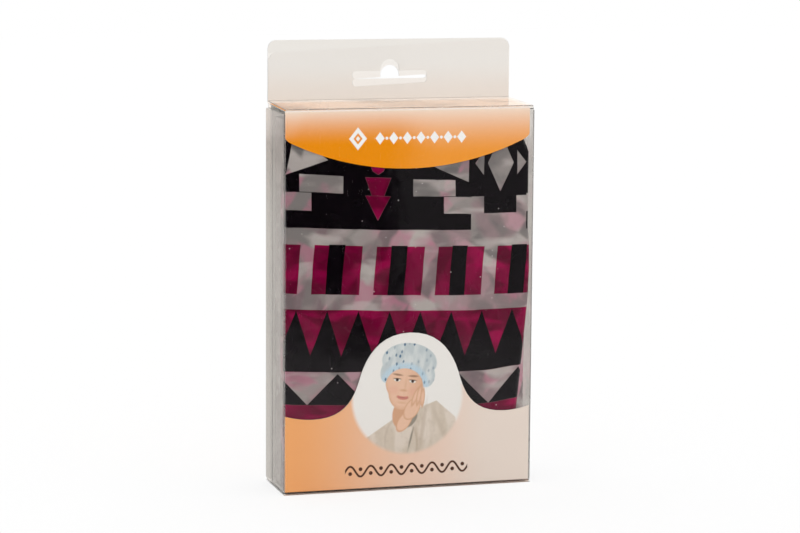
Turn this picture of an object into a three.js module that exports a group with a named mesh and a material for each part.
// A shower cap folded in thirds, held by a creased printed card inside a clear hanging box.
// Units are millimetres. +X is the box's right as seen from the front, +Y runs from front to back, +Z is up.
// The origin is the middle of the box's footprint, on the surface that it stands on.
import * as THREE from "three";

// Clear box: one die-cut plastic sheet, creased into panels and flaps.
const boxWidth = 104.5;
const boxDepth = 32;
const boxHeight = 156; // at the front crease
const sheet = 0.3; // plastic sheet
const creaseGap = 0.3; // clearance at each crease and between sheets that touch
const topRise = 1; // how far the top panel climbs from its front crease to the hanging header

// Header: two plies over the back panel, with the punched hanging slot.
const headerHeight = 25.5;
const headerInset = 0.8; // each side, inside the box's width
const headerCorner = 4;
const plyDropLeft = 5.2; // the front ply's upper edge sits lower than the back ply's, and slopes
const plyDropRight = 0.4;
const slotWidth = 32;
const slotArm = 3.2; // height of the slot's two arms
const slotHeight = 8; // over the raised middle
const slotBump = 8; // width of the raised middle
const slotLift = 9.3; // slot's lower edge above the box
const plySlotDrop = 2.4; // front ply's slot below the back ply's

// Closures. The bottom lid hinges on the front panel and its tuck flap goes inside the back panel.
const tuckLength = 10;
const tuckLean = 16; // degrees inwards, so that the flap clears the back panel as the lid opens
const tuckCorner = 4;
const tuckInset = 1.2; // each end, inside the box's width
const tuckPlay = 0.8; // between the tuck crease and the back panel's inner face
const dustLength = 22;
const dustRootFront = 1; // the dust flap's crease starts this far behind the front panel's face
const dustTaper = 0.7; // how fast its front edge runs back, per millimetre of flap
const dustBackPlay = 1.1; // between its back edge and the tuck crease
const topDustTaper = 0.25;
const seamWidth = 9; // glued flap inside the left panel

// Printed card: back, top, bottom and two front flaps, creased from one piece.
const card = 0.4;
const cardSidePlay = 0.3; // between the card's left edge and the side panel
const upperFlapPlay = 1.6; // between the upper flap's right edge and the side panel
const lowerFlapPlay = 0.4;
const cardBackInset = 0.6; // card back is this much narrower, to clear the glued seam
const arcDrop = 24.6; // from the box's top to the lowest point of the upper flap's curved edge
const arcRadius = 113.5;
const upperFlapCorner = 3;
const waveValley = 30.5; // lowest points of the lower flap's waved edge
const wavePeak = 64.5;
const waveShift = 0.4; // the wave's middle against the flap's
const waveEnd = 32.3; // height at the flap's two ends
const waveValleyHalf = 40.5; // valleys either side of the middle
const waveNeckHalf = 21.5;
const waveNeck = 45;

// Cap: one piece of film folded in thirds, with a gathered hem on an elastic band.
const leaf = 6.8; // one folded third, puffed
const leafGap = 0.6;
const capFrontPlay = 0.4; // behind the card's front flaps
const capSidePlay = 0.35;
const capRightPlay = 1.1;
const capBottomPlay = 0.3; // above the card's bottom
const capHeadroom = 2.9; // under the top dust flaps
const leafCorner = 2.4; // rounding of a leaf's free end
const hemFoldPlay = 0.3; // between the folded film and its hem
const ruffleAmplitude = 0.8;
const ruffleFilm = 0.4;
const ruffleWaves = 15;
const ruffleHeight = 15;
const hemInset = 5; // at each end, from the folded film's left and right
const hemHeight = 88; // middle of the hem above the base
const bandWidth = 5;
const bandThickness = 0.6;
const stitchCount = 30;
const stitchRise = 3; // height of the zigzag thread
const threadThickness = 0.25;

const degrees = Math.PI / 180;
const curveSteps = 10;

const clearPlastic = new THREE.MeshStandardMaterial({
  color: 0xe6e9ea,
  roughness: 0.08,
  transparent: true,
  opacity: 0.25,
});
const orangeCard = new THREE.MeshStandardMaterial({ color: 0xe08a22, roughness: 0.35 });
const capFilm = new THREE.MeshStandardMaterial({ color: 0x8c2350, roughness: 0.45 });
const hemFilm = new THREE.MeshStandardMaterial({ color: 0xb9b3b2, roughness: 0.5 });
const elastic = new THREE.MeshStandardMaterial({ color: 0xf0ece6, roughness: 0.9 });
const thread = new THREE.MeshStandardMaterial({ color: 0x2c2a2c, roughness: 0.8 });

const box = new THREE.Group();

function add(name, geometry, material, position = [0, 0, 0], rotation = [0, 0, 0]) {
  const mesh = new THREE.Mesh(geometry, material);
  mesh.name = name;
  mesh.position.set(...position);
  mesh.rotation.set(...rotation);
  box.add(mesh);
  return mesh;
}

// A flat block given by its lowest and highest corners.
function block(low, high) {
  const size = high.map((value, axis) => value - low[axis]);
  const middle = high.map((value, axis) => (value + low[axis]) / 2);
  return new THREE.BoxGeometry(...size).translate(...middle);
}

function extruded(shape, depth) {
  return new THREE.ExtrudeGeometry(shape, { depth, bevelEnabled: false, curveSegments: curveSteps });
}

// A sheet cut to a shape drawn in X and Z, standing with its front face at y = front.
function standing(shape, thickness, front) {
  return extruded(shape, thickness)
    .rotateX(Math.PI / 2)
    .translate(0, front + thickness, 0);
}

// A sheet cut to a shape drawn in X and Y, lying with its lower face at z = low.
function lying(shape, thickness, low) {
  return extruded(shape, thickness).translate(0, 0, low);
}

// Where the box's faces and creases lie.
const step = sheet + creaseGap; // one sheet and its gap
const halfWidth = boxWidth / 2;
const frontFace = -boxDepth / 2;
const backFace = boxDepth / 2;
const frontInner = frontFace + sheet;
const backInner = backFace - sheet;
const sideInner = halfWidth - sheet;
const headerTop = boxHeight + headerHeight;
const frontLow = step; // the front panel starts above the lid's crease
const frontHigh = boxHeight - step;

// The card's stack at the top: top panel, card, dust flap, side panel, each a gap apart.
const cardTopHigh = boxHeight - step;
const cardTopLow = cardTopHigh - card;
const topDustHigh = cardTopLow - creaseGap;
const topDustLow = topDustHigh - sheet;
const sideHigh = topDustLow - creaseGap;
// The stack at the bottom: lid, dust flap, then the side panel and the card.
const dustLow = step;
const dustHigh = dustLow + sheet;
const sideLow = dustHigh + creaseGap;
const cardBottomLow = sideLow;
const cardBottomHigh = cardBottomLow + card;
const flapLow = cardBottomHigh + creaseGap;

const tuckCreaseY = backInner - tuckPlay;
const creaseZ = (sheet + frontLow) / 2;
const tuckTipY = tuckCreaseY - tuckLength * Math.sin(tuckLean * degrees);

// Panels of the box.
add(
  "front_panel",
  block([-halfWidth, frontFace, frontLow], [halfWidth, frontInner, frontHigh]),
  clearPlastic,
);

const sideFront = frontInner + creaseGap;
const sideBack = backInner - creaseGap;
add("left_panel", block([-halfWidth, sideFront, sideLow], [-sideInner, sideBack, sideHigh]), clearPlastic);
add("right_panel", block([sideInner, sideFront, sideLow], [halfWidth, sideBack, sideHigh]), clearPlastic);

const seamOuter = -sideInner + creaseGap;
const seamInner = seamOuter + sheet;
const seamFront = sideBack - seamWidth;
add("seam_flap", block([seamOuter, seamFront, flapLow], [seamInner, sideBack, sideHigh]), clearPlastic);

// The hanging slot, with its lower edge at z = low, raised in the middle and turned by a small slope.
function hangingSlot(low, slope) {
  const endRadius = slotArm / 2;
  const armHalf = slotWidth / 2 - endRadius;
  const bumpHalf = slotBump / 2;
  const bumpBase = slotHeight - bumpHalf;
  const outline = new THREE.Shape();
  outline.moveTo(-armHalf, 0);
  outline.lineTo(armHalf, 0);
  outline.absarc(armHalf, endRadius, endRadius, -Math.PI / 2, Math.PI / 2);
  outline.lineTo(bumpHalf, slotArm);
  outline.lineTo(bumpHalf, bumpBase);
  outline.absarc(0, bumpBase, bumpHalf, 0, Math.PI);
  outline.lineTo(-bumpHalf, slotArm);
  outline.lineTo(-armHalf, slotArm);
  outline.absarc(-armHalf, endRadius, endRadius, Math.PI / 2, (3 * Math.PI) / 2);
  const turn = (point) =>
    new THREE.Vector2(
      point.x * Math.cos(slope) - point.y * Math.sin(slope),
      low + point.x * Math.sin(slope) + point.y * Math.cos(slope),
    );
  return new THREE.Path(outline.getPoints(curveSteps).map(turn));
}

// Draws the header's outline from its lower right to its lower left, with rounded upper corners.
function headerOutline(shape, leftTop, rightTop) {
  const edge = halfWidth - headerInset;
  shape.lineTo(edge, rightTop - headerCorner);
  shape.quadraticCurveTo(edge, rightTop, edge - headerCorner, rightTop);
  shape.lineTo(-edge + headerCorner, leftTop);
  shape.quadraticCurveTo(-edge, leftTop, -edge, leftTop - headerCorner);
}

const headerEdge = halfWidth - headerInset;
const backShape = new THREE.Shape();
backShape.moveTo(-halfWidth, 0);
backShape.lineTo(halfWidth, 0);
backShape.lineTo(halfWidth, boxHeight);
backShape.lineTo(headerEdge, boxHeight);
headerOutline(backShape, headerTop, headerTop);
backShape.lineTo(-headerEdge, boxHeight);
backShape.lineTo(-halfWidth, boxHeight);
const slotLow = boxHeight + slotLift;
backShape.holes.push(hangingSlot(slotLow, 0));
add("back_panel", standing(backShape, sheet, backInner), clearPlastic);

const plyBack = backInner - creaseGap;
const plyFront = plyBack - sheet;
const plyLow = boxHeight + topRise + creaseGap;
const plySlope = Math.atan((plyDropLeft - plyDropRight) / (2 * headerEdge));
const plyShape = new THREE.Shape();
plyShape.moveTo(-headerEdge, plyLow);
plyShape.lineTo(headerEdge, plyLow);
headerOutline(plyShape, headerTop - plyDropLeft, headerTop - plyDropRight);
plyShape.holes.push(hangingSlot(slotLow - plySlotDrop, plySlope));
add("header_front_ply", standing(plyShape, sheet, plyFront), clearPlastic);

// The top panel and the card under it climb towards the header.
const climb = Math.asin(topRise / (plyBack - frontFace));
function climbing(low, high) {
  const front = low[1];
  return block([low[0], 0, low[2] - high[2]], [high[0], high[1] - front, 0])
    .rotateX(climb)
    .translate(0, front, high[2]);
}
add(
  "top_panel",
  climbing([-halfWidth, frontFace, boxHeight - sheet], [halfWidth, plyBack, boxHeight]),
  clearPlastic,
);

// The printed card.
const flapFront = frontInner + creaseGap;
const flapBack = flapFront + card;
const cardBackFront = tuckTipY - creaseGap - sheet - card;
const cardBackBack = cardBackFront + card;
const cardLeft = -sideInner + cardSidePlay;
const upperRight = sideInner - upperFlapPlay;
const lowerRight = sideInner - lowerFlapPlay;
const cardBackLeft = seamInner + creaseGap;
const cardBackRight = upperRight - cardBackInset;

add(
  "card_top",
  climbing([cardLeft, flapFront, cardTopLow], [upperRight, cardBackBack, cardTopHigh]),
  orangeCard,
);
add(
  "card_bottom",
  block([cardLeft, flapFront, cardBottomLow], [lowerRight, cardBackBack, cardBottomHigh]),
  orangeCard,
);
const cardClimb = (cardBackFront - flapFront) * Math.sin(climb);
const cardBackHigh = cardTopLow + cardClimb - creaseGap;
add(
  "card_back",
  block([cardBackLeft, cardBackFront, flapLow], [cardBackRight, cardBackBack, cardBackHigh]),
  orangeCard,
);

// The upper flap hangs to a shallow arc, with its lower corners rounded.
const upperMiddle = (cardLeft + upperRight) / 2;
const upperHalf = (upperRight - cardLeft) / 2;
const arcCentre = boxHeight - arcDrop + arcRadius;
const arcEndHalf = upperHalf - upperFlapCorner;
const arcEnd = arcCentre - Math.sqrt(arcRadius ** 2 - arcEndHalf ** 2);
const arcTurn = Math.asin(arcEndHalf / arcRadius);
const upperFlap = new THREE.Shape();
upperFlap.moveTo(upperRight, topDustHigh);
upperFlap.lineTo(cardLeft, topDustHigh);
upperFlap.lineTo(cardLeft, arcEnd + upperFlapCorner);
upperFlap.quadraticCurveTo(cardLeft, arcEnd + upperFlapCorner / 2, upperMiddle - arcEndHalf, arcEnd);
upperFlap.absarc(upperMiddle, arcCentre, arcRadius, -Math.PI / 2 - arcTurn, -Math.PI / 2 + arcTurn);
upperFlap.quadraticCurveTo(upperRight, arcEnd + upperFlapCorner / 2, upperRight, arcEnd + upperFlapCorner);
add("card_upper_flap", standing(upperFlap, card, flapFront), orangeCard);

// The lower flap rises to a bell in the middle. Its curves are drawn as shares of the wave's own sizes.
const lowerMiddle = (cardLeft + lowerRight) / 2 + waveShift;
const waveRise = wavePeak - waveNeck;
const waveFall = waveNeck - waveValley;
const skirtRun = waveValleyHalf - waveNeckHalf;
const bellShare = { neckIn: 0.12, neckUp: 0.49, crownIn: 0.62 };
const skirtShare = { valleyIn: 0.62, neckOut: 0.14, neckDown: 0.59 };
const neckTurn = [waveNeckHalf + skirtRun * skirtShare.neckOut, waveNeck - waveFall * skirtShare.neckDown];
const lowerFlap = new THREE.Shape();
lowerFlap.moveTo(cardLeft, flapLow);
lowerFlap.lineTo(lowerRight, flapLow);
lowerFlap.lineTo(lowerRight, waveEnd);
lowerFlap.quadraticCurveTo(
  (lowerRight + lowerMiddle + waveValleyHalf) / 2, waveValley,
  lowerMiddle + waveValleyHalf, waveValley,
);
for (const side of [1, -1]) {
  const skirt = [
    [lowerMiddle + side * (waveValleyHalf - skirtRun * skirtShare.valleyIn), waveValley],
    [lowerMiddle + side * neckTurn[0], neckTurn[1]],
  ];
  const bell = [
    [lowerMiddle + side * waveNeckHalf * (1 - bellShare.neckIn), waveNeck + waveRise * bellShare.neckUp],
    [lowerMiddle + side * waveNeckHalf * bellShare.crownIn, wavePeak],
  ];
  const neck = [lowerMiddle + side * waveNeckHalf, waveNeck];
  if (side > 0) {
    lowerFlap.bezierCurveTo(...skirt[0], ...skirt[1], ...neck);
    lowerFlap.bezierCurveTo(...bell[0], ...bell[1], lowerMiddle, wavePeak);
  } else {
    lowerFlap.bezierCurveTo(...bell[1], ...bell[0], ...neck);
    lowerFlap.bezierCurveTo(...skirt[1], ...skirt[0], lowerMiddle - waveValleyHalf, waveValley);
  }
}
lowerFlap.quadraticCurveTo((cardLeft + lowerMiddle - waveValleyHalf) / 2, waveValley, cardLeft, waveEnd);
add("card_lower_flap", standing(lowerFlap, card, flapFront), orangeCard);

// A dust flap, tapered from its crease at the side panel to its tip. side is -1 on the left, 1 on the right.
function dustFlap(side, rootFront, rootBack, taper, low) {
  const shape = new THREE.Shape();
  const crease = side * halfWidth;
  const tip = crease - side * dustLength;
  shape.moveTo(crease, rootFront);
  shape.lineTo(tip, rootFront + taper * dustLength);
  shape.lineTo(tip, rootBack);
  shape.lineTo(crease, rootBack);
  return lying(shape, sheet, low);
}
const bottomDustFront = frontFace + dustRootFront;
const bottomDustBack = tuckCreaseY - dustBackPlay;
const topDustFront = flapBack + creaseGap;
const topDustBack = cardBackFront - creaseGap;
const sides = { left: -1, right: 1 };
for (const [name, side] of Object.entries(sides)) {
  add(
    `top_dust_flap_${name}`,
    dustFlap(side, topDustFront, topDustBack, topDustTaper, topDustLow),
    clearPlastic,
  );
  add(
    `bottom_dust_flap_${name}`,
    dustFlap(side, bottomDustFront, bottomDustBack, dustTaper, dustLow),
    clearPlastic,
  );
}

// The lid lies from the front crease to the tuck crease, and the tuck flap leans in from there.
add("bottom_lid", block([-halfWidth, frontFace, 0], [halfWidth, tuckCreaseY, sheet]), clearPlastic);
const tuckHalf = halfWidth - tuckInset;
const tuckRoot = creaseGap * 0.7;
const tuckShape = new THREE.Shape();
tuckShape.moveTo(-tuckHalf, tuckRoot);
tuckShape.lineTo(tuckHalf, tuckRoot);
tuckShape.lineTo(tuckHalf, tuckLength - tuckCorner);
tuckShape.quadraticCurveTo(tuckHalf, tuckLength, tuckHalf - tuckCorner, tuckLength);
tuckShape.lineTo(-tuckHalf + tuckCorner, tuckLength);
tuckShape.quadraticCurveTo(-tuckHalf, tuckLength, -tuckHalf, tuckLength - tuckCorner);
add(
  "bottom_tuck_flap",
  standing(tuckShape, sheet, -sheet / 2),
  clearPlastic,
  [0, tuckCreaseY, creaseZ],
  [tuckLean * degrees, 0, 0],
);

// The cap's film, seen from above: three leaves in a Z, joined by round folds at the right and the left.
const capFront = flapBack + capFrontPlay;
// The front leaf lies against the side panel, the others beside the seam.
const leafLeft = -sideInner + capSidePlay;
const capLeft = seamInner + capSidePlay;
const capRight = sideInner - capRightPlay;
const capBottom = flapLow + capBottomPlay;
const capTop = topDustLow - capHeadroom;
const foldOuter = leaf + leafGap / 2;
const foldInner = leafGap / 2;
const rightFold = [capRight - foldOuter, capFront + leaf + foldInner];
const leftFold = [capLeft + foldOuter, capFront + 2 * leaf + leafGap + foldInner];
const leafFaces = [0, 1, 2].map((n) => [
  capFront + n * (leaf + leafGap),
  capFront + n * (leaf + leafGap) + leaf,
]);
const up = Math.PI / 2;
const film = new THREE.Shape();
film.moveTo(leafLeft + leafCorner, leafFaces[0][0]);
film.lineTo(rightFold[0], leafFaces[0][0]);
film.absarc(...rightFold, foldOuter, -up, up);
film.lineTo(leftFold[0], leafFaces[1][1]);
film.absarc(...leftFold, foldInner, -up, up, true);
film.lineTo(capRight - leafCorner, leafFaces[2][0]);
film.quadraticCurveTo(capRight, leafFaces[2][0], capRight, leafFaces[2][0] + leafCorner);
film.lineTo(capRight, leafFaces[2][1] - leafCorner);
film.quadraticCurveTo(capRight, leafFaces[2][1], capRight - leafCorner, leafFaces[2][1]);
film.lineTo(leftFold[0], leafFaces[2][1]);
film.absarc(...leftFold, foldOuter, up, 3 * up);
film.lineTo(rightFold[0], leafFaces[1][0]);
film.absarc(...rightFold, foldInner, up, -up, true);
film.lineTo(leafLeft + leafCorner, leafFaces[0][1]);
film.quadraticCurveTo(leafLeft, leafFaces[0][1], leafLeft, leafFaces[0][1] - leafCorner);
film.lineTo(leafLeft, leafFaces[0][0] + leafCorner);
film.quadraticCurveTo(leafLeft, leafFaces[0][0], leafLeft + leafCorner, leafFaces[0][0]);
add("cap_film", lying(film, capTop - capBottom, capBottom), capFilm);

// The gathered hem runs across the back of the folded film, as a ruffle seen from above.
const hemMiddle = (capLeft + capRight) / 2;
const hemLength = capRight - capLeft - 2 * hemInset;
const ruffleMiddle = leafFaces[2][1] + hemFoldPlay + ruffleAmplitude + ruffleFilm / 2;
const wavePoints = 6;
const ruffleSide = (offset) => {
  const points = [];
  for (let n = 0; n <= ruffleWaves * wavePoints; n += 1) {
    const along = n / (ruffleWaves * wavePoints);
    const swing = ruffleAmplitude * Math.sin((2 * Math.PI * n) / wavePoints);
    points.push(new THREE.Vector2(hemMiddle + (along - 0.5) * hemLength, ruffleMiddle + swing + offset));
  }
  return points;
};
const ruffle = new THREE.Shape([...ruffleSide(-ruffleFilm / 2), ...ruffleSide(ruffleFilm / 2).reverse()]);
add("cap_hem_ruffle", lying(ruffle, ruffleHeight, hemHeight - ruffleHeight / 2), hemFilm);

const bandFront = ruffleMiddle + ruffleAmplitude + ruffleFilm / 2 + hemFoldPlay;
const bandBack = bandFront + bandThickness;
const bandEnds = [hemMiddle - hemLength / 2, hemMiddle + hemLength / 2];
const bandLow = hemHeight - bandWidth / 2;
add(
  "cap_elastic_band",
  block([bandEnds[0], bandFront, bandLow], [bandEnds[1], bandBack, bandLow + bandWidth]),
  elastic,
);

// The zigzag thread that sews the band to the hem, from corner to corner of each stitch.
const threadFront = bandBack + hemFoldPlay / 2;
const threadHalf = threadThickness / 2 / Math.cos(Math.atan2(stitchRise, hemLength / stitchCount));
const threadSide = (offset) => {
  const points = [];
  for (let n = 0; n <= stitchCount; n += 1) {
    const corner = n % 2 === 0 ? stitchRise / 2 : -stitchRise / 2;
    points.push(new THREE.Vector2(bandEnds[0] + (n / stitchCount) * hemLength, hemHeight + corner + offset));
  }
  return points;
};
const zigzag = new THREE.Shape([...threadSide(-threadHalf), ...threadSide(threadHalf).reverse()]);
add("cap_hem_stitches", standing(zigzag, threadThickness, threadFront), thread);

export default box;
